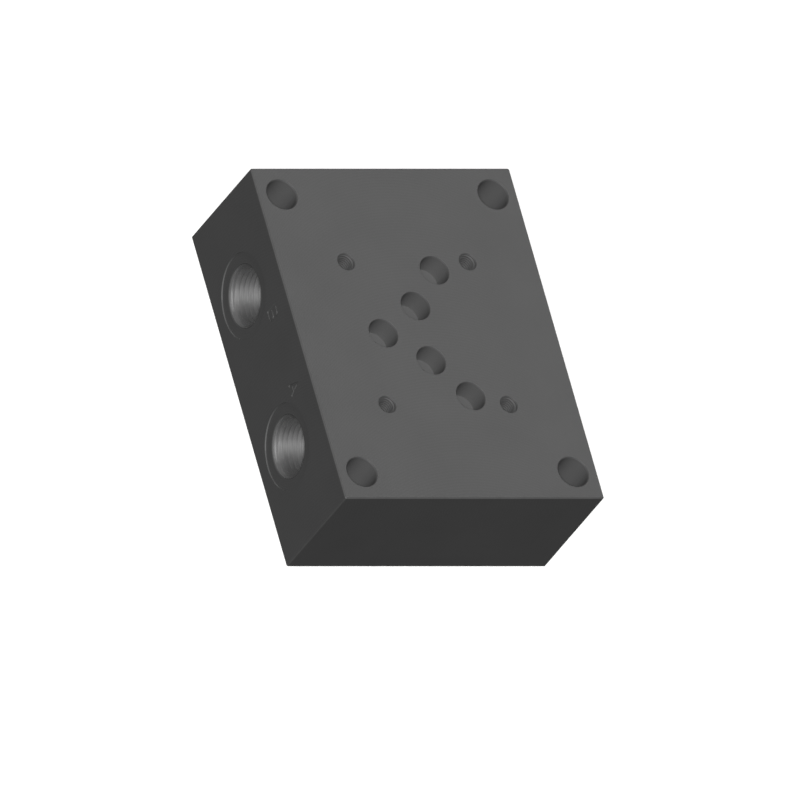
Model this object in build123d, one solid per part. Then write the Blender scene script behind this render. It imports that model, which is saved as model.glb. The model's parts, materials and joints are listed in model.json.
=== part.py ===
"""Hydraulic manifold block: a single-station subplate that carries one size 10 directional valve.

The whole thing is one block of steel with its faces milled and everything else drilled, bored,
spot-faced, tapped or engraved into it.  The valve bolts onto the top face.  Hoses screw into the
four threaded ports in the two side faces, and four through holes fix the block to a frame.

Frame: the origin is the middle of the back face.  X runs across the block from the side with
ports A and B to the side with ports P and T, Y runs along it, and Z rises to the valve face.
All lengths are in millimetres and all angles in degrees.
"""
from build123d import *
from math import cos, radians, sin, tan
import os

# Block
block_width = 98.0  # X, from side face to side face
block_length = 125.0  # Y, from end face to end face
block_height = 45.0  # Z, from the back face to the valve face
edge_chamfer = 0.4  # deburred outer edges
hole_chamfer = 0.3  # deburred mouths of the holes

# Fixing holes: plain through holes for M10 screws, one near each corner
fixing_hole_diameter = 11.0
fixing_hole_from_side = 9.0  # hole axis to the side face
fixing_hole_from_end = 10.0  # hole axis to the end face

# Valve interface: the size 10 pattern of ISO 4401, measured from the middle of the valve face
valve_bolt_spacing_x = 46.0
valve_bolt_spacing_y = 54.0
valve_bolt_diameter = 6.0  # M6, at the crests of the tapped thread
valve_bolt_tapping_drill = 5.0
valve_bolt_thread_length = 13.0
valve_bolt_drill_depth = 16.0
pocket_diameter = 10.5
pocket_depth = 8.6
pocket_chamfer = 0.2  # small, because the valve's sealing rings seat close around the pockets
pocket_places = {
    "P": (-16.7, 0.0),
    "A": (-1.6, -10.3),
    "B": (-1.6, 10.3),
    "T": (9.5, -23.8),
    "T_second": (9.5, 23.8),
}

# Side ports: G 1/2 pipe thread with a spot face for the sealing ring
side_port_spacing = 57.0  # between the two ports of a side, along Y
side_port_below_valve_face = 25.0
side_port_thread_diameter = 20.955  # at the roots of the thread, its largest diameter
side_port_tapping_drill = 19.0
side_port_thread_length = 15.0
side_port_drill_depth = 18.0
spot_face_diameter = 29.0
spot_face_depth = 0.5

# Inner passages: a drop from the floor of each pocket, and a gallery from its side port to that drop
drop_diameter = 7.2
drop_offset = 1.3  # drop axis from the pocket's axis, which leaves a flat shelf on the other side
drop_bearing = 221.0  # which way the drop is set off, from the X axis
gallery_diameter = 9.0
gallery_overrun = 4.2  # gallery past the axis of its drop
drop_depths = {"P": 35.0, "A": 20.0, "B": 20.0, "T": 27.0}  # valve face to where the drop ends
drill_point_angle = 118.0

# Port letters, engraved beside the side ports
letter_height = 5.5  # between the middles of the strokes
letter_width = 3.6
letter_stroke = 0.8
letter_depth = 0.4
letter_from_port = 14.5  # from the port's axis, towards the middle of the side
letter_below_valve_face = 11.0

# Which side face (-1 or +1 along X) and which half (-1 or +1 along Y) each side port is in
side_ports = {
    "A": (-1, -1),
    "B": (-1, 1),
    "P": (1, 1),
    "T": (1, -1),
}

cutter_lead = 1.0  # how far a cutter stands clear of the face that it enters


def mouth_cutter(diameter, chamfer_size):
    """The countersink that breaks the mouth of a hole, entering a face at Z = 0."""
    radius = diameter / 2
    height = chamfer_size + cutter_lead
    cone = Cone(radius, radius + height, height, align=(Align.CENTER, Align.CENTER, Align.MIN))
    return Pos(0, 0, -chamfer_size) * cone


def bore_cutter(diameter, depth):
    """A flat-bottomed hole that enters a face at Z = 0 and goes down."""
    height = depth + cutter_lead
    bore = Cylinder(diameter / 2, height, align=(Align.CENTER, Align.CENTER, Align.MIN))
    return Pos(0, 0, -depth) * bore


def drill_point(diameter):
    """The cone that a twist drill leaves, hanging down from Z = 0."""
    height = diameter / 2 / tan(radians(drill_point_angle / 2))
    return Cone(0, diameter / 2, height, align=(Align.CENTER, Align.CENTER, Align.MAX))


def tapped_hole_cutter(thread_diameter, thread_length, tapping_drill, drill_depth):
    """A blind tapped hole: the thread's envelope, the tapping drill under it and the drill point."""
    thread = bore_cutter(thread_diameter, thread_length)
    drill = bore_cutter(tapping_drill, drill_depth)
    return thread + drill + Pos(0, 0, -drill_depth) * drill_point(tapping_drill)


def valve_face_place(x, y):
    """A plane on the valve face, its Z axis pointing out of the block."""
    return Plane(origin=(x, y, block_height))


def side_face_place(side, y, below_valve_face, inset=0.0):
    """A plane on a side face, its Z axis pointing out of the block and its Y axis up."""
    origin = (side * (block_width / 2 - inset), y, block_height - below_valve_face)
    return Plane(origin=origin, x_dir=(0, side, 0), z_dir=(side, 0, 0))


def rectangle_corners(spacing_x, spacing_y):
    """The four corners of a rectangle about the middle of the block."""
    return [(i * spacing_x / 2, j * spacing_y / 2) for i in (-1, 1) for j in (-1, 1)]


def raw_block():
    """The milled block, standing on its back face."""
    block = Box(block_width, block_length, block_height, align=(Align.CENTER, Align.CENTER, Align.MIN))
    return chamfer(block.edges(), edge_chamfer)


def fixing_hole_cutters():
    """The four plain holes through the block, with both mouths broken."""
    spacing_x = block_width - 2 * fixing_hole_from_side
    spacing_y = block_length - 2 * fixing_hole_from_end
    cutters = []
    for x, y in rectangle_corners(spacing_x, spacing_y):
        top = valve_face_place(x, y)
        back = Plane(origin=(x, y, 0), z_dir=(0, 0, -1))
        cutters.append(top * bore_cutter(fixing_hole_diameter, block_height + cutter_lead))
        cutters.append(top * mouth_cutter(fixing_hole_diameter, hole_chamfer))
        cutters.append(back * mouth_cutter(fixing_hole_diameter, hole_chamfer))
    return cutters


def valve_bolt_cutters():
    """The four tapped holes that the valve is bolted to."""
    hole = tapped_hole_cutter(
        valve_bolt_diameter, valve_bolt_thread_length, valve_bolt_tapping_drill, valve_bolt_drill_depth
    )
    hole += mouth_cutter(valve_bolt_diameter, hole_chamfer)
    places = rectangle_corners(valve_bolt_spacing_x, valve_bolt_spacing_y)
    return [valve_face_place(x, y) * hole for x, y in places]


def pocket_cutters():
    """The five flat-bottomed pockets under the valve's own ports."""
    pocket = bore_cutter(pocket_diameter, pocket_depth) + mouth_cutter(pocket_diameter, pocket_chamfer)
    return [valve_face_place(x, y) * pocket for x, y in pocket_places.values()]


def side_port_cutter():
    """One side port: spot face, tapped hole and the broken mouth of the thread."""
    port = tapped_hole_cutter(
        side_port_thread_diameter, side_port_thread_length, side_port_tapping_drill, side_port_drill_depth
    )
    port += mouth_cutter(side_port_thread_diameter, hole_chamfer)
    spot_face = Cylinder(
        spot_face_diameter / 2, spot_face_depth + cutter_lead, align=(Align.CENTER, Align.CENTER, Align.MIN)
    )
    return port + spot_face


def side_port_cutters():
    """The four side ports, each standing on the floor of its spot face."""
    port = side_port_cutter()
    cutters = []
    for side, half in side_ports.values():
        y = half * side_port_spacing / 2
        cutters.append(side_face_place(side, y, side_port_below_valve_face, spot_face_depth) * port)
    return cutters


def drop_foot(name):
    """Where the drop under a valve pocket ends: the point that its gallery is aimed at."""
    x, y = pocket_places[name]
    bearing = radians(drop_bearing)
    return Vector(
        x + drop_offset * cos(bearing), y + drop_offset * sin(bearing), block_height - drop_depths[name]
    )


def passage_cutters():
    """For each of P, A, B and T, the drop from its pocket and the gallery from its side port.

    A gallery is drilled through the mouth of its side port.  It crosses the port's axis halfway
    down the thread, so that it leaves the thread whole.
    """
    cutters = []
    for name, (side, half) in side_ports.items():
        foot = drop_foot(name)
        drop = bore_cutter(drop_diameter, drop_depths[name] - pocket_depth)
        cutters.append(Plane(origin=(foot.X, foot.Y, block_height - pocket_depth)) * drop)
        crossing = side_face_place(
            side,
            half * side_port_spacing / 2,
            side_port_below_valve_face,
            spot_face_depth + side_port_thread_length / 2,
        ).origin
        run = foot - crossing
        length = run.length + gallery_overrun
        gallery = Cylinder(gallery_diameter / 2, length, align=(Align.CENTER, Align.CENTER, Align.MAX))
        gallery += Pos(0, 0, -length) * drill_point(gallery_diameter)
        cutters.append(Plane(origin=crossing, z_dir=-run) * gallery)
    return cutters


def stroke(start, end):
    """A straight stroke of a round-nosed engraving cutter."""
    run = Vector(*end) - Vector(*start)
    middle = (Vector(*start) + Vector(*end)) / 2
    angle = Vector(1, 0, 0).get_signed_angle(run, Vector(0, 0, 1))
    return Pos(middle.X, middle.Y) * Rot(0, 0, angle) * SlotCenterToCenter(run.length, letter_stroke)


def bowl(foot_height):
    """The round half of a B or a P: two short bars joined by a half circle."""
    radius = letter_height / 4
    straight = letter_width - radius
    turn = CenterArc((straight, foot_height + radius), radius, -90, 180)
    bottom_bar = stroke((0, foot_height), (straight, foot_height))
    top_bar = stroke((0, foot_height + 2 * radius), (straight, foot_height + 2 * radius))
    return SlotArc(turn, letter_stroke) + bottom_bar + top_bar


def port_letter(letter):
    """The outline of an engraved port letter, centred on the origin."""
    width = letter_width
    height = letter_height
    stem = stroke((0, 0), (0, height))
    crossbar = height / 3
    lean = width / 2 * crossbar / height  # how far in the legs of an A are at its crossbar
    outlines = {
        "A": stroke((0, 0), (width / 2, height))
        + stroke((width, 0), (width / 2, height))
        + stroke((lean, crossbar), (width - lean, crossbar)),
        "B": stem + bowl(0) + bowl(height / 2),
        "P": stem + bowl(height / 2),
        "T": stroke((0, height), (width, height)) + stroke((width / 2, 0), (width / 2, height)),
    }
    return Pos(-width / 2, -height / 2) * outlines[letter]


def port_letter_cutters():
    """The four engraved letters, each between its port and the middle of its side face."""
    cutters = []
    for name, (side, half) in side_ports.items():
        y = half * (side_port_spacing / 2 - letter_from_port)
        floor = side_face_place(side, y, letter_below_valve_face, letter_depth)
        cutters.append(floor * extrude(port_letter(name), letter_depth + cutter_lead))
    return cutters


def manifold_block():
    """The finished block."""
    block = raw_block()
    cutters = fixing_hole_cutters() + valve_bolt_cutters() + pocket_cutters()
    cutters += side_port_cutters() + passage_cutters() + port_letter_cutters()
    for cutter in cutters:
        block -= cutter
    return block


os.makedirs("parts", exist_ok=True)
solid = manifold_block()
solid.label = "manifold_block"
export_step(solid, "parts/manifold_block.step")
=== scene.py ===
"""Finishes and dresses the hydraulic manifold block, and lights it in a plain pale studio.

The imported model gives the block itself.  This script gives it the look of milled steel that has
been phosphated and oiled, cuts real threads into its eight tapped holes, and adds the stage.
All lengths are in metres unless a name says millimetres.
"""
import json
import math
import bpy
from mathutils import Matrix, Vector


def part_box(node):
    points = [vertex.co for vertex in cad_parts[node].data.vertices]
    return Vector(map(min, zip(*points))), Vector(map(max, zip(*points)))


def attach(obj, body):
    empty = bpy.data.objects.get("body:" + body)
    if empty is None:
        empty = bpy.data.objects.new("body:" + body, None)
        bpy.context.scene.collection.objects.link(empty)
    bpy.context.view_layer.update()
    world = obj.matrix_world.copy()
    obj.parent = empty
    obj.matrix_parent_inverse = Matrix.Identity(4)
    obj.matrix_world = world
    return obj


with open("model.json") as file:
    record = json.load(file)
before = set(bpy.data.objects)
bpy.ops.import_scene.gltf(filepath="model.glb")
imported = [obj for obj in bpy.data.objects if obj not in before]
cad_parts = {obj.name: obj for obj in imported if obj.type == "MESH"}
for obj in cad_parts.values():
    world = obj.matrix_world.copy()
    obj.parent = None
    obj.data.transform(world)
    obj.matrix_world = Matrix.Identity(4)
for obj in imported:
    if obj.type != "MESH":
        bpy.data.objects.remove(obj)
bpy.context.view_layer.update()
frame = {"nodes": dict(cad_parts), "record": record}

from types import SimpleNamespace

import bmesh
import bpy
from mathutils import Matrix, Vector

bl_info = {
    "name": "Hydraulic manifold block",
    "version": (1, 0, 0),
    "blender": (4, 5, 0),
    "location": "View3D > Sidebar > Manifold block",
    "description": "Finishes a drilled and tapped hydraulic manifold block and lights it",
    "category": "Object",
}

MM = 0.001
BLOCK = "manifold_block"
BODY = "root"
BLOCK_LOW, BLOCK_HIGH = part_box(BLOCK)
BLOCK_MIDDLE = (BLOCK_LOW + BLOCK_HIGH) / 2
BLOCK_SIZE = BLOCK_HIGH - BLOCK_LOW
MOUNTS = {mount["name"]: mount for mount in frame["record"]["mounts"]}
SIDE_PORTS = [MOUNTS["side_port_" + letter] for letter in "abpt"]
VALVE_BOLTS = MOUNTS["valve_bolts"]


# ---------------------------------------------------------------------------------------------
# Colours and nodes
# ---------------------------------------------------------------------------------------------

MATHS = "ShaderNodeMath"
VECTORS = "ShaderNodeVectorMath"
RANGE = "ShaderNodeMapRange"  # its inputs are a value, the range it comes from and the range it goes to
NOISE = "ShaderNodeTexNoise"
SMOOTH = {"interpolation_type": "SMOOTHSTEP"}
MIX_SHARE, MIX_FIRST, MIX_SECOND, MIXED = 0, 6, 7, 2  # places of a mix node's colour sockets


def linear(hex_colour):
    """An sRGB hex colour, such as "5f6062", as linear red, green and blue."""
    channels = [int(hex_colour[i : i + 2], 16) / 255 for i in (0, 2, 4)]
    return tuple(c / 12.92 if c <= 0.04045 else ((c + 0.055) / 1.055) ** 2.4 for c in channels)


def add_node(tree, kind, *values, inputs=None, **settings):
    """Adds a node with its settings, and fills its inputs in order or by name.

    An input takes a plain value, an output of another node, or a node for its first output.
    """
    node = tree.nodes.new(kind)
    for name, value in settings.items():
        setattr(node, name, value)
    for key, value in {**dict(enumerate(values)), **(inputs or {})}.items():
        if isinstance(value, bpy.types.Node):
            value = value.outputs[0]
        if isinstance(value, bpy.types.NodeSocket):
            tree.links.new(value, node.inputs[key])
        else:
            node.inputs[key].default_value = value
    return node


def chain(tree, operation, first, *others):
    """One maths operation applied along several values, such as a sum of four."""
    result = first
    for value in others:
        result = add_node(tree, MATHS, result, value, operation=operation)
    return result


def between(tree, rows):
    """For each row of a share and two ends, the value that far from the first end to the last."""
    return [add_node(tree, RANGE, share, 0.0, 1.0, first, last) for share, first, last in rows]


def textures(tree, place, rows):
    """Noise from 0 to 1 for each row of its largest features' width in millimetres and its detail."""
    return [
        add_node(tree, NOISE, inputs={"Vector": place, "Scale": 1 / (width_mm * MM), "Detail": detail})
        for width_mm, detail in rows
    ]


def new_material(name):
    """A material with an empty node tree."""
    material = bpy.data.materials.new(name)
    material.use_nodes = True
    material.node_tree.nodes.clear()
    return material


# ---------------------------------------------------------------------------------------------
# Where a point lies on the block
# ---------------------------------------------------------------------------------------------

# Depths under a face between which a mask goes from 0 to 1.  The letters are 0.4 mm deep, the
# spot faces 0.5, the mouths of the side ports 0.8 and the side ports 18.5.
SHALLOW_CUT = (0.75 * MM, 0.55 * MM)
UNDER_LETTERS = (0.42 * MM, 0.46 * MM)
OVER_PORT_MOUTH = (0.70 * MM, 0.60 * MM)
UNDER_PORT_MOUTH = (0.75 * MM, 0.85 * MM)
OVER_PORT_END = (19.0 * MM, 18.5 * MM)
UNDER_BOLT_MOUTH = (0.2 * MM, 0.6 * MM)
# Distances past a hole's wall between which its finish gives way to the block's
PAST_WALL = (0.25 * MM, 0.05 * MM)
# The part of a normal along an axis, past which a surface mostly or squarely faces that way
MOSTLY = 0.7
SQUARELY = 0.9


def measure_surface(tree):
    """Where a shaded point lies on the block, how it faces, and how deep it is under each side.

    from_edge is the distance to the nearest edge from a point on an outer face: of the three
    depths it is the middle one.  inside is 0 on the outer faces and on the floors of shallow
    cuts, and 1 on every wall and in the holes.
    """
    place = add_node(tree, "ShaderNodeTexCoord").outputs["Object"]
    x, y, z = add_node(tree, "ShaderNodeSeparateXYZ", place).outputs
    height = add_node(tree, MATHS, z, BLOCK_MIDDLE.z, operation="SUBTRACT")
    normal = add_node(tree, "ShaderNodeNewGeometry").outputs["True Normal"]
    facing = []
    depths = []
    on_sides = []
    parts = add_node(tree, "ShaderNodeSeparateXYZ", normal).outputs
    for part, size, value in zip(parts, BLOCK_SIZE, (x, y, height)):
        towards = add_node(tree, MATHS, part, operation="ABSOLUTE")
        from_middle = add_node(tree, MATHS, value, operation="ABSOLUTE")
        depth = add_node(tree, MATHS, size / 2, from_middle, operation="SUBTRACT")
        shallow = add_node(tree, RANGE, depth, *SHALLOW_CUT, **SMOOTH)
        facing.append(towards)
        depths.append(depth)
        on_sides.append(add_node(tree, MATHS, towards, shallow, operation="MULTIPLY"))
    nearest = chain(tree, "MINIMUM", *depths)
    furthest = chain(tree, "MAXIMUM", *depths)
    total = chain(tree, "ADD", *depths)
    outside = chain(tree, "MAXIMUM", *on_sides)
    return SimpleNamespace(
        place=place,
        x=x,
        y=y,
        z=z,
        height=height,
        facing=facing,
        depths=depths,
        nearest=nearest,
        from_edge=chain(tree, "SUBTRACT", total, nearest, furthest),
        inside=add_node(tree, MATHS, 1.0, outside, operation="SUBTRACT"),
    )


def hole_distance(tree, across, along, across_half, along_half):
    """Distance from the axes of the holes that stand either side of a middle."""
    squares = []
    for value, half in ((across, across_half), (along, along_half)):
        reach = add_node(tree, MATHS, value, operation="ABSOLUTE")
        offset = add_node(tree, MATHS, reach, half, operation="SUBTRACT")
        squares.append(add_node(tree, MATHS, offset, offset, operation="MULTIPLY"))
    return add_node(tree, MATHS, chain(tree, "ADD", *squares), operation="SQRT")


def hole_wall(tree, distance, radius):
    """1 out to the wall of a hole, and 0 past it."""
    gone, full = PAST_WALL
    return add_node(tree, RANGE, distance, radius + gone, radius + full, **SMOOTH)


def port_walls(tree, at, from_port):
    """1 on the walls of the side ports, from mouth to end, and 0 elsewhere."""
    within = hole_wall(tree, from_port, SIDE_PORTS[0]["dims"]["r_mm"] * MM)
    past_mouth = add_node(tree, RANGE, at.nearest, *UNDER_PORT_MOUTH, **SMOOTH)
    before_end = add_node(tree, RANGE, at.depths[0], *OVER_PORT_END, **SMOOTH)
    return chain(tree, "MULTIPLY", within, past_mouth, before_end)


def bolt_holes(tree, at):
    """1 in the four holes that the valve is bolted to, and 0 elsewhere."""
    dims = VALVE_BOLTS["dims"]
    across_half = dims["spacing_x_mm"] / 2 * MM
    along_half = dims["spacing_y_mm"] / 2 * MM
    from_bolt = hole_distance(tree, at.x, at.y, across_half, along_half)
    within = hole_wall(tree, from_bolt, dims["hole_r_mm"] * MM)
    past_mouth = add_node(tree, RANGE, at.nearest, *UNDER_BOLT_MOUTH, **SMOOTH)
    return add_node(tree, MATHS, within, past_mouth, operation="MULTIPLY")


def hole_rims(tree, at):
    """1 on the chamfers along the outer edges and round the mouths of the holes, 0 elsewhere."""
    slope = math.sqrt(0.5)
    slope_tolerance = 0.12
    fade = 0.1 * MM
    rims = []
    for axis, deepest in ((0, 1.0 * MM), (2, 0.5 * MM)):
        sloping = add_node(tree, MATHS, at.facing[axis], slope, slope_tolerance, operation="COMPARE")
        shallow = add_node(tree, RANGE, at.depths[axis], deepest, deepest - fade, **SMOOTH)
        rims.append(add_node(tree, MATHS, sloping, shallow, operation="MULTIPLY"))
    return chain(tree, "MAXIMUM", *rims)


# ---------------------------------------------------------------------------------------------
# Materials
# ---------------------------------------------------------------------------------------------

# Painted light on the phosphate coat, as tones where 1 is the valve face: a painted highlight on
# the walls of the holes and painted shade on the chamfers.  The bolt holes are drawn darker.
PAINTED_BORE_LIGHT = 1.3
FLOOR_TONE = 1.0
BOLT_HOLE_TONE = 0.62
PAINTED_RIM_SHADE = 0.7

GRAIN_HEIGHT = 0.005 * MM
TAP_MARK_HEIGHT = 0.004 * MM


def ripple(tree, travel, spacing):
    """A smooth wave from 0 to 1 that repeats each time travel grows by spacing."""
    turns = add_node(tree, MATHS, travel, math.tau / spacing, operation="MULTIPLY")
    wave = add_node(tree, MATHS, turns, operation="SINE")
    return add_node(tree, MATHS, wave, 0.5, 0.5, operation="MULTIPLY_ADD")


def milling_arcs(tree, at, finish):
    """The fine arcs that a face mill leaves on each flat side, as heights from 0 to 1.

    The cutter's track runs along the longer way of each face.
    """
    on_end = add_node(tree, MATHS, at.facing[1], MOSTLY, operation="GREATER_THAN")
    on_top = add_node(tree, MATHS, at.facing[2], MOSTLY, operation="GREATER_THAN")
    along, across = between(tree, ((on_end, at.y, at.x), (on_top, at.height, at.x)))
    radius = finish.cutter_diameter / 2
    square = add_node(tree, MATHS, across, across, operation="MULTIPLY")
    left = add_node(tree, MATHS, radius * radius, square, operation="SUBTRACT")
    reach = add_node(tree, MATHS, left, operation="SQRT")
    front = add_node(tree, MATHS, along, reach, operation="SUBTRACT")
    return ripple(tree, front, finish.feed_mark_spacing)


def cutting_marks(tree, at, from_port, finish):
    """Heights from 0 to 1 of the marks that the cutters left.

    A face mill leaves arcs on the flat sides, a spot-facing tool leaves rings round the side
    ports, and a drill leaves rings down the walls of the holes.  Real marks are about 0.25 mm
    apart; they are drawn coarser here, because they would be too fine to show.
    """
    arcs = milling_arcs(tree, at, finish)
    rings = ripple(tree, from_port, finish.ring_spacing)
    drilled = ripple(tree, at.z, finish.ring_spacing)
    flat = add_node(tree, MATHS, at.facing[0], SQUARELY, operation="GREATER_THAN")
    under = add_node(tree, RANGE, at.depths[0], *UNDER_LETTERS, **SMOOTH)
    over = add_node(tree, RANGE, at.depths[0], *OVER_PORT_MOUTH, **SMOOTH)
    on_spot_face = chain(tree, "MULTIPLY", flat, under, over)
    outer = add_node(tree, RANGE, on_spot_face, 0.0, 1.0, arcs, rings)
    return add_node(tree, RANGE, at.inside, 0.0, 1.0, outer, drilled)


def edge_wear(tree, at, patches, width):
    """How far the coat is rubbed thin, from 0 to 1, in a ragged band along the outer edges."""
    raggedness = 0.9 * width
    gone, full = 1.35 * width, 0.55 * width
    ragged = add_node(tree, MATHS, patches, raggedness, at.from_edge, operation="MULTIPLY_ADD")
    band = add_node(tree, RANGE, ragged, gone, full, **SMOOTH)
    uneven = add_node(tree, RANGE, patches, 0.0, 1.0, 0.1, 0.9)
    return add_node(tree, MATHS, band, uneven, operation="MULTIPLY")


def coat_tone(tree, at, finish):
    """How light the phosphate coat is, where 1 is the valve face.

    The sides and ends are darkened as painted shade, for the light that falls on them less, and the
    walls of the holes are lightened as a painted highlight.  The bolt holes are drawn darker, and
    the chamfers carry painted shade that takes away the light they catch.
    """
    # Painted shade: the long sides and the ends are darkened by set shares, for the light that falls on
    # them less.
    on_side = add_node(tree, MATHS, at.facing[0], MOSTLY, operation="GREATER_THAN")
    on_end = add_node(tree, MATHS, at.facing[1], MOSTLY, operation="GREATER_THAN")
    shade = add_node(tree, MATHS, on_side, finish.side_darkening, operation="MULTIPLY")
    shade = add_node(tree, MATHS, on_end, finish.end_darkening, shade, operation="MULTIPLY_ADD")
    outer = add_node(tree, MATHS, 1.0, shade, operation="SUBTRACT")
    # Painted highlight: the walls of the holes are lightened, for the light that falls on them; floors
    # keep the face's tone.
    on_floor = add_node(tree, MATHS, at.facing[2], SQUARELY, operation="GREATER_THAN")
    painted_wall_light = add_node(tree, RANGE, on_floor, 0.0, 1.0, PAINTED_BORE_LIGHT, FLOOR_TONE)
    tones = between(
        tree,
        (
            (at.inside, outer, painted_wall_light),
            # The bolt holes are drawn darker.
            (bolt_holes(tree, at), 1.0, BOLT_HOLE_TONE),
            # Painted shade on the chamfers, taking away the light that they catch.
            (hole_rims(tree, at), 1.0, PAINTED_RIM_SHADE),
        ),
    )
    return chain(tree, "MULTIPLY", *tones)


def measure_finish(tree, at, finish):
    """What changes over the block's surface, each as a share from 0 to 1.

    clouds, patches and crystals are the coat's own unevenness, marks the traces of the cutters,
    wear how far the coat is rubbed thin, and bare the walls that a tap has cleaned.
    """
    # Real phosphate crystals are some 0.02 mm long; they are drawn as coarse as they need to show.
    clouds, patches, crystals = textures(tree, at.place, ((22.0, 3.0), (3.5, 3.0), (0.45, 2.0)))
    port_y, port_z = SIDE_PORTS[0]["pos_m"][1:]
    over_port = add_node(tree, MATHS, at.z, port_z, operation="SUBTRACT")
    from_port = hole_distance(tree, at.y, over_port, abs(port_y), 0.0)
    return SimpleNamespace(
        clouds=clouds,
        patches=patches,
        crystals=crystals,
        marks=cutting_marks(tree, at, from_port, finish),
        wear=edge_wear(tree, at, patches, finish.edge_wear_width),
        bare=port_walls(tree, at, from_port),
    )


def block_colour(tree, at, skin, finish):
    """The coat's colour, giving way to rubbed steel at the edges and bare steel in the ports."""
    # Clouds, crystals and cutting marks each lighten and darken the coat a little.
    rows = ((skin.clouds, 0.93, 1.07), (skin.crystals, 0.9, 1.1), (skin.marks, 0.99, 1.04))
    tones = between(tree, rows)
    # The coat's tone carries the painted shade on the sides, ends and chamfers and the painted highlight
    # on the hole walls, as well as clouds, crystals and cutting marks.
    painted_light_and_grain = {"Scale": chain(tree, "MULTIPLY", coat_tone(tree, at, finish), *tones)}
    coat = add_node(tree, VECTORS, finish.phosphate_colour, inputs=painted_light_and_grain, operation="SCALE")
    steel_tone, rubbed_share = between(tree, ((skin.patches, 0.92, 1.08), (skin.wear, 0.0, 0.5)))
    steel_shade = {"Scale": steel_tone}
    steel = add_node(tree, VECTORS, finish.tapped_colour, inputs=steel_shade, operation="SCALE")
    rubbed = (*finish.rubbed_colour, 1.0)
    colour = coat
    for share, upper in ((rubbed_share, rubbed), (skin.bare, steel)):
        layers = {MIX_SHARE: share, MIX_FIRST: colour, MIX_SECOND: upper}
        colour = add_node(tree, "ShaderNodeMix", inputs=layers, data_type="RGBA").outputs[MIXED]
    return colour


def phosphated_steel(finish):
    """Milled steel with a manganese phosphate coat, dipped in oil.

    The coat is a layer of fine crystals: a dull, even, dark grey with faint clouds where it took
    unevenly, and almost no mirror shine.  The cutting marks show through it, sharp outer edges
    are rubbed a little brighter, and the walls of the side ports are bare, paler steel.
    """
    material = new_material("Oiled manganese phosphated steel")
    tree = material.node_tree
    at = measure_surface(tree)
    skin = measure_finish(tree, at, finish)

    # Rubbed edges and bare walls are smoother and more metallic than the coat.
    rubbed_roughness = finish.roughness - 0.16
    dullness = between(
        tree,
        (
            (skin.clouds, -0.04, 0.04),
            (skin.crystals, -0.05, 0.05),
            (skin.wear, finish.roughness, rubbed_roughness),
            (skin.bare, 0.0, -0.12),
        ),
    )
    metal = between(tree, ((skin.wear, 0.0, 0.5), (skin.bare, 0.0, 0.8)))

    # The coat's grain and the cutting marks stand a few thousandths of a millimetre high.
    grain = add_node(tree, MATHS, skin.marks, skin.crystals, operation="ADD")
    height = add_node(tree, MATHS, grain, GRAIN_HEIGHT, operation="MULTIPLY")
    relief = {"Strength": 1.0, "Distance": 1.0, "Height": height}
    surface = {
        "Base Color": block_colour(tree, at, skin, finish),
        "Roughness": chain(tree, "ADD", *dullness),
        "Metallic": chain(tree, "MAXIMUM", *metal),
        "Specular IOR Level": 0.25,
        "Normal": add_node(tree, "ShaderNodeBump", inputs=relief),
    }
    shader = add_node(tree, "ShaderNodeBsdfPrincipled", inputs=surface)
    add_node(tree, "ShaderNodeOutputMaterial", shader)
    return material


def tapped_steel(finish):
    """Steel as a tap leaves it, with a thin film of cutting oil.

    The flanks are paler and smoother than the coated block, with fine tool marks and small
    clouds where the oil has dried.
    """
    material = new_material("Freshly tapped steel")
    tree = material.node_tree
    place = add_node(tree, "ShaderNodeTexCoord").outputs["Object"]
    # The marks of the tap's teeth are drawn coarser than the real 0.03 mm.
    clouds, marks = textures(tree, place, ((2.5, 3.0), (0.3, 2.0)))
    tones = between(tree, ((clouds, 0.9, 1.1), (marks, 0.92, 1.08)))
    tone = chain(tree, "MULTIPLY", *tones)
    colour = add_node(tree, VECTORS, finish.tapped_colour, inputs={"Scale": tone}, operation="SCALE")
    oil_dullness = add_node(tree, RANGE, clouds, 0.0, 1.0, -0.04, 0.04)
    height = add_node(tree, MATHS, marks, TAP_MARK_HEIGHT, operation="MULTIPLY")
    relief = {"Strength": 1.0, "Distance": 1.0, "Height": height}
    surface = {
        "Base Color": colour,
        "Roughness": add_node(tree, MATHS, oil_dullness, finish.roughness, operation="ADD"),
        "Metallic": 0.85,
        # The tap's marks run round the hole, so they spread the shine along it: a bright band
        # lies along the bore and fades towards both sides.
        "Anisotropic": 0.47,
        "Tangent": add_node(tree, "ShaderNodeCombineXYZ", 1.0, 0.0, 0.0),
        "Normal": add_node(tree, "ShaderNodeBump", inputs=relief),
    }
    shader = add_node(tree, "ShaderNodeBsdfPrincipled", inputs=surface)
    add_node(tree, "ShaderNodeOutputMaterial", shader)
    return material


# ---------------------------------------------------------------------------------------------
# Threads
# ---------------------------------------------------------------------------------------------

THREAD_TREE = "Tapped threads"
THREAD_INPUTS = {
    "Geometry": "NodeSocketGeometry",
    "Wall Radius": "NodeSocketFloat",
    "Pitch": "NodeSocketFloat",
    "Length": "NodeSocketFloat",
    "Height": "NodeSocketFloat",
    "Root Width": "NodeSocketFloat",
    "Crest Width": "NodeSocketFloat",
    "Bedding": "NodeSocketFloat",
    "Points per Turn": "NodeSocketInt",
    "Material": "NodeSocketMaterial",
}
INWARD = "inward"
RUN_OUT_TURNS = 0.375  # how much of a turn the ridge takes to rise from the wall at either end
BEDDING_SHARE = 0.004  # how far the ridge's root lies in the wall, as a share of the wall's radius
SAME_POINT = 1e-7  # points nearer to each other than this are one
SHARP_CORNER = math.radians(20)


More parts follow.
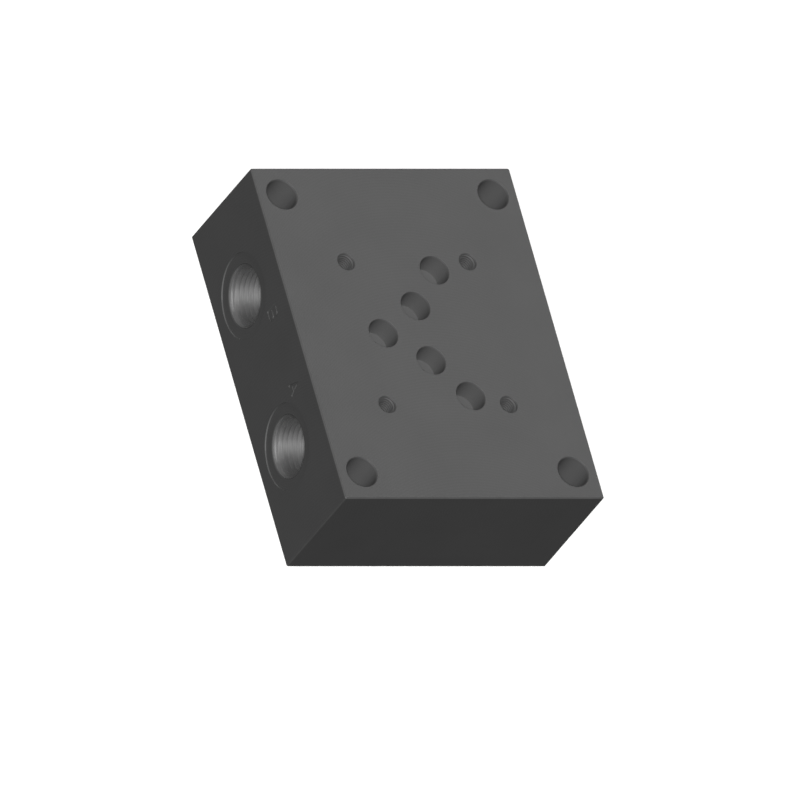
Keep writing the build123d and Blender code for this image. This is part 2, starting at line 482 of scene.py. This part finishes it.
def thread_helix(tree, given):
    """The right-handed helix on the hole's wall that the ridge follows.

    Both of its ends sink into the wall, where the tap starts and runs out.
    """
    run = add_node(tree, MATHS, given["Length"], given["Root Width"], operation="SUBTRACT")
    turns = add_node(tree, MATHS, run, given["Pitch"], operation="DIVIDE")
    spiral = {
        "Resolution": given["Points per Turn"],
        "Rotations": turns,
        "Start Radius": given["Wall Radius"],
        "End Radius": given["Wall Radius"],
        "Height": run,
        "Reverse": True,
    }
    helix = add_node(tree, "GeometryNodeCurveSpiral", inputs=spiral)

    passed = add_node(tree, "GeometryNodeSplineParameter").outputs["Factor"]
    remaining = add_node(tree, MATHS, 1.0, passed, operation="SUBTRACT")
    nearer_end = add_node(tree, MATHS, passed, remaining, operation="MINIMUM")
    turns_from_end = add_node(tree, MATHS, nearer_end, turns, operation="MULTIPLY")
    sink = add_node(tree, RANGE, turns_from_end, 0.0, RUN_OUT_TURNS, given["Height"], 0.0)

    place = add_node(tree, "GeometryNodeInputPosition")
    outward = add_node(tree, VECTORS, place, (1.0, 1.0, 0.0), operation="MULTIPLY")
    outward = add_node(tree, VECTORS, outward, operation="NORMALIZE")
    outward = add_node(tree, VECTORS, outward, inputs={"Scale": sink}, operation="SCALE")
    half_root = add_node(tree, MATHS, given["Root Width"], 0.5, operation="MULTIPLY")
    lead = add_node(tree, "ShaderNodeCombineXYZ", 0.0, 0.0, half_root)
    offset = add_node(tree, VECTORS, outward, lead, operation="ADD")
    moved = {"Geometry": helix, "Offset": offset}
    helix = add_node(tree, "GeometryNodeSetPosition", inputs=moved)
    return add_node(tree, "GeometryNodeSetCurveNormal", inputs={"Curve": helix}, mode="Z_UP")


def ridge_section(tree, given):
    """The ridge's flat-topped section: X points out into the wall and Y along the hole."""
    inward = add_node(tree, MATHS, given["Height"], -1.0, operation="MULTIPLY")
    root = (given["Bedding"], given["Root Width"], (-0.5, 0.5))
    crest = (inward, given["Crest Width"], (0.5, -0.5))
    corners = []
    for depth, width, sides in (root, crest):
        for side in sides:
            along = add_node(tree, MATHS, width, side, operation="MULTIPLY")
            corners.append(add_node(tree, "ShaderNodeCombineXYZ", depth, along, 0.0))
    points = {"Point " + str(number): corner for number, corner in enumerate(corners, start=1)}
    return add_node(tree, "GeometryNodeCurvePrimitiveQuadrilateral", inputs=points, mode="POINTS")


def thread_tree():
    """Geometry nodes that cut one tapped thread into each hole mouth of a point cloud.

    Each point carries the direction into its hole.  The ridge of the thread is a flat-topped
    wedge swept along a right-handed helix on the hole's wall.
    """
    tree = bpy.data.node_groups.new(THREAD_TREE, "GeometryNodeTree")
    tree.is_modifier = True
    for name, kind in THREAD_INPUTS.items():
        tree.interface.new_socket(name, in_out="INPUT", socket_type=kind)
    tree.interface.new_socket("Geometry", in_out="OUTPUT", socket_type="NodeSocketGeometry")
    given = add_node(tree, "NodeGroupInput").outputs

    sweep = {
        "Curve": thread_helix(tree, given),
        "Profile Curve": ridge_section(tree, given),
        "Fill Caps": True,
    }
    ridge = add_node(tree, "GeometryNodeCurveToMesh", inputs=sweep)
    inward = add_node(
        tree, "GeometryNodeInputNamedAttribute", inputs={"Name": INWARD}, data_type="FLOAT_VECTOR"
    )
    turn = add_node(tree, "FunctionNodeAlignRotationToVector", inputs={"Vector": inward}, axis="Z")
    copies = {"Points": given["Geometry"], "Instance": ridge, "Rotation": turn}
    copies = add_node(tree, "GeometryNodeInstanceOnPoints", inputs=copies)
    realized = add_node(tree, "GeometryNodeRealizeInstances", copies)
    finished = {"Geometry": realized, "Material": given["Material"]}
    finished = add_node(tree, "GeometryNodeSetMaterial", inputs=finished)
    add_node(tree, "NodeGroupOutput", finished)
    return tree


def thread_sizes(wall_radius, pitch, length, height, flank_angle, flat_share, points_per_turn):
    """Values for the thread nodes: the ridge narrows from its root to its crest at the flank angle."""
    root = pitch * (1 - flat_share)
    return {
        "Wall Radius": wall_radius,
        "Pitch": pitch,
        "Length": length,
        "Height": height,
        "Root Width": root,
        "Crest Width": root - 2 * height * math.tan(flank_angle),
        "Bedding": wall_radius * BEDDING_SHARE,
        "Points per Turn": points_per_turn,
    }


def mouth_points(name, mouths):
    """An object with one point for each hole mouth, which carries the direction into its hole."""
    cloud = bpy.data.meshes.new(name)
    cloud.from_pydata([place for place, _ in mouths], [], [])
    attribute = cloud.attributes.new(INWARD, "FLOAT_VECTOR", "POINT")
    for row, (_, inward) in zip(attribute.data, mouths):
        row.vector = inward
    points = bpy.data.objects.new(name, cloud)
    bpy.context.scene.collection.objects.link(points)
    return points


def run_nodes(points, tree, values):
    """The plain mesh that a node tree makes of an object, which is then removed."""
    modifier = points.modifiers.new("Threads", "NODES")
    modifier.node_group = tree
    for item in tree.interface.items_tree:
        if item.in_out == "INPUT" and item.name in values:
            modifier[item.identifier] = values[item.name]
    bpy.context.view_layer.update()
    made = points.evaluated_get(bpy.context.evaluated_depsgraph_get())
    mesh = bpy.data.meshes.new_from_object(made)
    points.modifiers.remove(modifier)
    bpy.data.objects.remove(points)
    return mesh


def close_mesh(mesh):
    """Merges doubled points, points all faces outwards, and keeps only real corners sharp."""
    form = bmesh.new()
    form.from_mesh(mesh)
    bmesh.ops.remove_doubles(form, verts=form.verts, dist=SAME_POINT)
    bmesh.ops.recalc_face_normals(form, faces=form.faces)
    form.to_mesh(mesh)
    form.free()
    mesh.shade_smooth()
    mesh.set_sharp_from_angle(angle=SHARP_CORNER)


def add_threads(name, mouths, sizes, material):
    """One piece with a thread in each mouth; mouths are (place, direction into the hole)."""
    tree = bpy.data.node_groups.get(THREAD_TREE) or thread_tree()
    points = mouth_points(name + "_mouths", mouths)
    mesh = run_nodes(points, tree, {**sizes, "Material": material})
    if not mesh.polygons:
        raise RuntimeError(name + ": the thread nodes made no faces")
    mesh.name = name
    mesh.materials.clear()
    mesh.materials.append(material)
    mesh.polygons.foreach_set("material_index", [0] * len(mesh.polygons))
    close_mesh(mesh)
    piece = bpy.data.objects.new(name, mesh)
    bpy.context.scene.collection.objects.link(piece)
    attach(piece, BODY)


# ---------------------------------------------------------------------------------------------
# Stage
# ---------------------------------------------------------------------------------------------

PULP_CLUMP = 1.5 * MM
FLOOR_HALF_WIDTH = 3.0
VIEW_TURN = math.radians(30)  # the view is turned and raised by the same angle
VIEW_WIDTH = 262.3 * MM
VIEW_SIDEWAYS = 0.71 * MM  # how far the middle of the view is to the right of the block's middle
VIEW_DOWN = 10.67 * MM  # and how far it is below it
CAMERA_DISTANCE = 1.0
CAMERA_REACH = 10.0
AMBIENT_SHARE = 0.03


def studio_paper(stage):
    """Pale seamless paper: matt, with a barely visible pulp texture."""
    material = new_material("Pale backdrop paper")
    tree = material.node_tree
    place = add_node(tree, "ShaderNodeTexCoord").outputs["Object"]
    clumps = {"Vector": place, "Scale": 1 / PULP_CLUMP, "Detail": 3.0}
    pulp = add_node(tree, NOISE, inputs=clumps)
    tone = add_node(tree, RANGE, pulp, 0.0, 1.0, 0.995, 1.0)
    surface = {
        "Base Color": add_node(
            tree, VECTORS, stage.floor_colour, inputs={"Scale": tone}, operation="SCALE"
        ),
        "Roughness": 0.95,
        "Specular IOR Level": 0.0,
        "Emission Color": (*stage.floor_colour, 1.0),
        "Emission Strength": stage.floor_glow,
    }
    shader = add_node(tree, "ShaderNodeBsdfPrincipled", inputs=surface)
    add_node(tree, "ShaderNodeOutputMaterial", shader)
    return material


def add_floor(stage):
    """The paper that the block stands on."""
    half = FLOOR_HALF_WIDTH
    corners = [(-half, -half, 0.0), (half, -half, 0.0), (half, half, 0.0), (-half, half, 0.0)]
    mesh = bpy.data.meshes.new("paper_floor")
    mesh.from_pydata(corners, [], [(0, 1, 2, 3)])
    mesh.materials.append(studio_paper(stage))
    floor = bpy.data.objects.new("paper_floor", mesh)
    bpy.context.scene.collection.objects.link(floor)
    # The sides of the block stay dark: the paper's own light doesn't reach them.
    floor.visible_diffuse = False
    floor.visible_glossy = False


def add_lamps(back, brightness):
    """Three far, soft lamps; each row is a name, where it shines from, its share and its width."""
    lamps = (
        ("Front softbox", back, 0.80, 3),
        ("Top softbox", Vector((-0.10, -0.06, 0.99)), 0.305, 14),
        ("Rear softbox", Vector((0.74, 0.67, 0.0)), 0.75, 20),
    )
    for name, toward, share, degrees_wide in lamps:
        lamp = bpy.data.lights.new(name, "SUN")
        lamp.energy = share * brightness
        lamp.angle = math.radians(degrees_wide)
        holder = bpy.data.objects.new(name, lamp)
        holder.rotation_mode = "QUATERNION"
        holder.rotation_quaternion = toward.to_track_quat("Z", "Y")
        bpy.context.scene.collection.objects.link(holder)


def add_world(brightness):
    """An even pale surround: it looks white, and lights the block only a little."""
    world = bpy.data.worlds.new("Studio")
    bpy.context.scene.world = world
    world.use_nodes = True
    tree = world.node_tree
    tree.nodes.clear()
    seen = add_node(tree, "ShaderNodeLightPath").outputs["Is Camera Ray"]
    # An even surround lights a face with pi times its own strength.
    ambient = AMBIENT_SHARE * brightness / math.pi
    strength = add_node(tree, RANGE, seen, 0.0, 1.0, ambient, 1.0)
    surround = add_node(tree, "ShaderNodeBackground", (1.0, 1.0, 1.0, 1.0), strength)
    add_node(tree, "ShaderNodeOutputWorld", surround)


def add_camera(turn):
    """A camera with parallel sight lines, turned so and aimed a little below the block's middle."""
    right, up, back = turn.col
    lens = bpy.data.cameras.new("Camera")
    lens.type = "ORTHO"
    lens.ortho_scale = VIEW_WIDTH
    lens.clip_end = CAMERA_REACH
    camera = bpy.data.objects.new("Camera", lens)
    aim = BLOCK_MIDDLE + right * VIEW_SIDEWAYS - up * VIEW_DOWN
    camera.matrix_world = Matrix.Translation(aim + back * CAMERA_DISTANCE) @ turn.to_4x4()
    bpy.context.scene.collection.objects.link(camera)
    bpy.context.scene.camera = camera


# ---------------------------------------------------------------------------------------------
# Settings
# ---------------------------------------------------------------------------------------------


def colour_setting(name, description, hex_colour):
    """A colour that a user can change."""
    return bpy.props.FloatVectorProperty(
        name=name,
        description=description,
        default=linear(hex_colour),
        subtype="COLOR",
        min=0.0,
        max=1.0,
    )


def length_setting(name, description, millimetres):
    """A length that a user can change, held in metres."""
    return bpy.props.FloatProperty(
        name=name,
        description=description,
        default=millimetres * MM,
        unit="LENGTH",
        min=0.0,
        precision=6,
    )


def share_setting(name, description, share):
    """A share from 0 to 1 that a user can change."""
    return bpy.props.FloatProperty(
        name=name,
        description=description,
        default=share,
        min=0.0,
        max=1.0,
        subtype="FACTOR",
    )


class SteelFinishSettings(bpy.types.PropertyGroup):
    """Colours and surface marks of the steel block."""

    phosphate_colour: colour_setting("Phosphate", "Colour of the oiled phosphate coat", "555555")
    rubbed_colour: colour_setting("Rubbed edges", "Colour where the coat is rubbed thin", "8c8c8c")
    tapped_colour: colour_setting("Tapped steel", "Colour of the steel that the tap has cut", "a4a4a4")
    roughness: share_setting("Roughness", "Dullness of the phosphate coat and the threads", 0.58)
    # Painted shade: how much the long sides and the ends are darkened, for the light that falls on them
    # less.
    side_darkening: share_setting(
        "Side darkening", "How much darker the long sides are than the valve face", 0.01
    )
    end_darkening: share_setting(
        "End darkening", "How much darker the ends are than the valve face", 0.13
    )
    edge_wear_width: length_setting("Edge wear", "Width of the rubbed band along the outer edges", 0.6)
    feed_mark_spacing: length_setting("Feed marks", "Distance between the arcs of the face mill", 1.1)
    cutter_diameter: length_setting("Cutter", "Diameter of the face mill", 125.0)
    ring_spacing: length_setting("Rings", "Distance between the rings on spot faces and hole walls", 0.9)


class ThreadSettings(bpy.types.PropertyGroup):
    """Sizes of the two kinds of tapped thread: G 1/2 in the side ports and M6 for the valve."""

    port_pitch: length_setting("Port pitch", "Pitch of the side port threads, 14 to the inch", 1.814)
    port_height: length_setting("Port height", "How far the ridge stands in from the wall", 0.9775)
    bolt_pitch: length_setting("Bolt pitch", "Pitch of the valve bolt threads", 1.0)
    bolt_height: length_setting("Bolt height", "How far the ridge stands in from the wall", 0.5)
    bolt_length: length_setting("Bolt thread", "Length of wall below the mouth chamfer", 12.7)
    bolt_chamfer: length_setting("Bolt chamfer", "Depth of the chamfer at the mouth", 0.3)


class StudioSettings(bpy.types.PropertyGroup):
    """Light and backdrop."""

    floor_colour: colour_setting("Paper", "Colour of the paper that the block stands on", "f9f9f8")
    floor_glow: bpy.props.FloatProperty(
        name="Glow",
        description="Light from under the paper, as on a light table",
        default=0.3,
        min=0.0,
        max=2.0,
    )
    brightness: bpy.props.FloatProperty(
        name="Brightness",
        description="Strength that each lamp takes a share of, in watts per square metre",
        default=3.64,
        min=0.0,
        max=20.0,
    )


# ---------------------------------------------------------------------------------------------
# Operators
# ---------------------------------------------------------------------------------------------


class FinishBlock(bpy.types.Operator):
    """Gives the drilled block its oiled phosphate finish"""

    bl_idname = "manifold.finish_block"
    bl_label = "Finish block"

    def execute(self, context):
        node = frame["nodes"][BLOCK]
        material = phosphated_steel(context.scene.manifold_finish)
        for slot in node.material_slots:
            slot.material = material
        return {"FINISHED"}


class AddSidePortThreads(bpy.types.Operator):
    """Cuts the four G 1/2 threads of the side ports"""

    bl_idname = "manifold.side_port_threads"
    bl_label = "Side port threads"

    def execute(self, context):
        settings = context.scene.manifold_threads
        dims = SIDE_PORTS[0]["dims"]
        length = dims["length_mm"] * MM
        mouths = []
        for port in SIDE_PORTS:
            outward = Vector(port["axis"])
            mouths.append((Vector(port["pos_m"]) + outward * length / 2, -outward))
        sizes = thread_sizes(
            wall_radius=dims["r_mm"] * MM,
            pitch=settings.port_pitch,
            length=length,
            height=settings.port_height,
            flank_angle=math.radians(27.5),
            flat_share=1 / 6,
            points_per_turn=96,
        )
        add_threads("side_port_threads", mouths, sizes, tapped_steel(context.scene.manifold_finish))
        return {"FINISHED"}


class AddValveBoltThreads(bpy.types.Operator):
    """Cuts the four M6 threads that hold the valve"""

    bl_idname = "manifold.valve_bolt_threads"
    bl_label = "Valve bolt threads"

    def execute(self, context):
        settings = context.scene.manifold_threads
        dims = VALVE_BOLTS["dims"]
        inward = -Vector(VALVE_BOLTS["axis"])
        middle = Vector(VALVE_BOLTS["pos_m"]) + inward * settings.bolt_chamfer
        mouths = []
        for side in (-0.5, 0.5):
            for end in (-0.5, 0.5):
                place = Vector((dims["spacing_x_mm"] * side, dims["spacing_y_mm"] * end, 0.0)) * MM
                mouths.append((middle + place, inward))
        sizes = thread_sizes(
            wall_radius=dims["hole_r_mm"] * MM,
            pitch=settings.bolt_pitch,
            length=settings.bolt_length,
            height=settings.bolt_height,
            flank_angle=math.radians(30),
            flat_share=1 / 8,
            points_per_turn=48,
        )
        add_threads("valve_bolt_threads", mouths, sizes, frame["nodes"][BLOCK].active_material)
        return {"FINISHED"}


class AddStudioStage(bpy.types.Operator):
    """Adds the paper floor, the lamps and the camera"""

    bl_idname = "manifold.studio_stage"
    bl_label = "Studio stage"

    def execute(self, context):
        stage = context.scene.manifold_stage
        turn = Matrix.Rotation(VIEW_TURN, 3, "X") @ Matrix.Rotation(-VIEW_TURN, 3, "Y")
        add_floor(stage)
        add_lamps(turn.col[2], stage.brightness)
        add_world(stage.brightness)
        add_camera(turn)
        context.scene.view_settings.view_transform = "Standard"
        return {"FINISHED"}


# ---------------------------------------------------------------------------------------------
# Panel, registration and the run itself
# ---------------------------------------------------------------------------------------------


class ManifoldPanel(bpy.types.Panel):
    """Steps and settings of the manifold block"""

    bl_label = "Manifold block"
    bl_idname = "VIEW3D_PT_manifold_block"
    bl_space_type = "VIEW_3D"
    bl_region_type = "UI"
    bl_category = "Manifold block"

    def draw(self, context):
        for settings, _, steps in GROUPS:
            box = self.layout.box()
            group = getattr(context.scene, settings)
            for name in group.__annotations__:
                box.prop(group, name)
            for step in steps:
                box.operator(step.bl_idname)


# Each group of settings: its name on the scene, its kind, and the steps that use it
GROUPS = (
    ("manifold_finish", SteelFinishSettings, (FinishBlock,)),
    ("manifold_threads", ThreadSettings, (AddSidePortThreads, AddValveBoltThreads)),
    ("manifold_stage", StudioSettings, (AddStudioStage,)),
)


def register():
    """Registers the settings, the steps that use them, and the panel."""
    for name, kind, steps in GROUPS:
        bpy.utils.register_class(kind)
        setattr(bpy.types.Scene, name, bpy.props.PointerProperty(type=kind))
        for step in steps:
            bpy.utils.register_class(step)
    bpy.utils.register_class(ManifoldPanel)


def unregister():
    """Takes back all that register adds."""
    bpy.utils.unregister_class(ManifoldPanel)
    for name, kind, steps in GROUPS:
        for step in steps:
            bpy.utils.unregister_class(step)
        delattr(bpy.types.Scene, name)
        bpy.utils.unregister_class(kind)


def main():
    """Runs every step."""
    register()
    bpy.ops.manifold.studio_stage()
    bpy.ops.manifold.finish_block()
    bpy.ops.manifold.side_port_threads()
    bpy.ops.manifold.valve_bolt_threads()


if __name__ == "__main__":
    main()
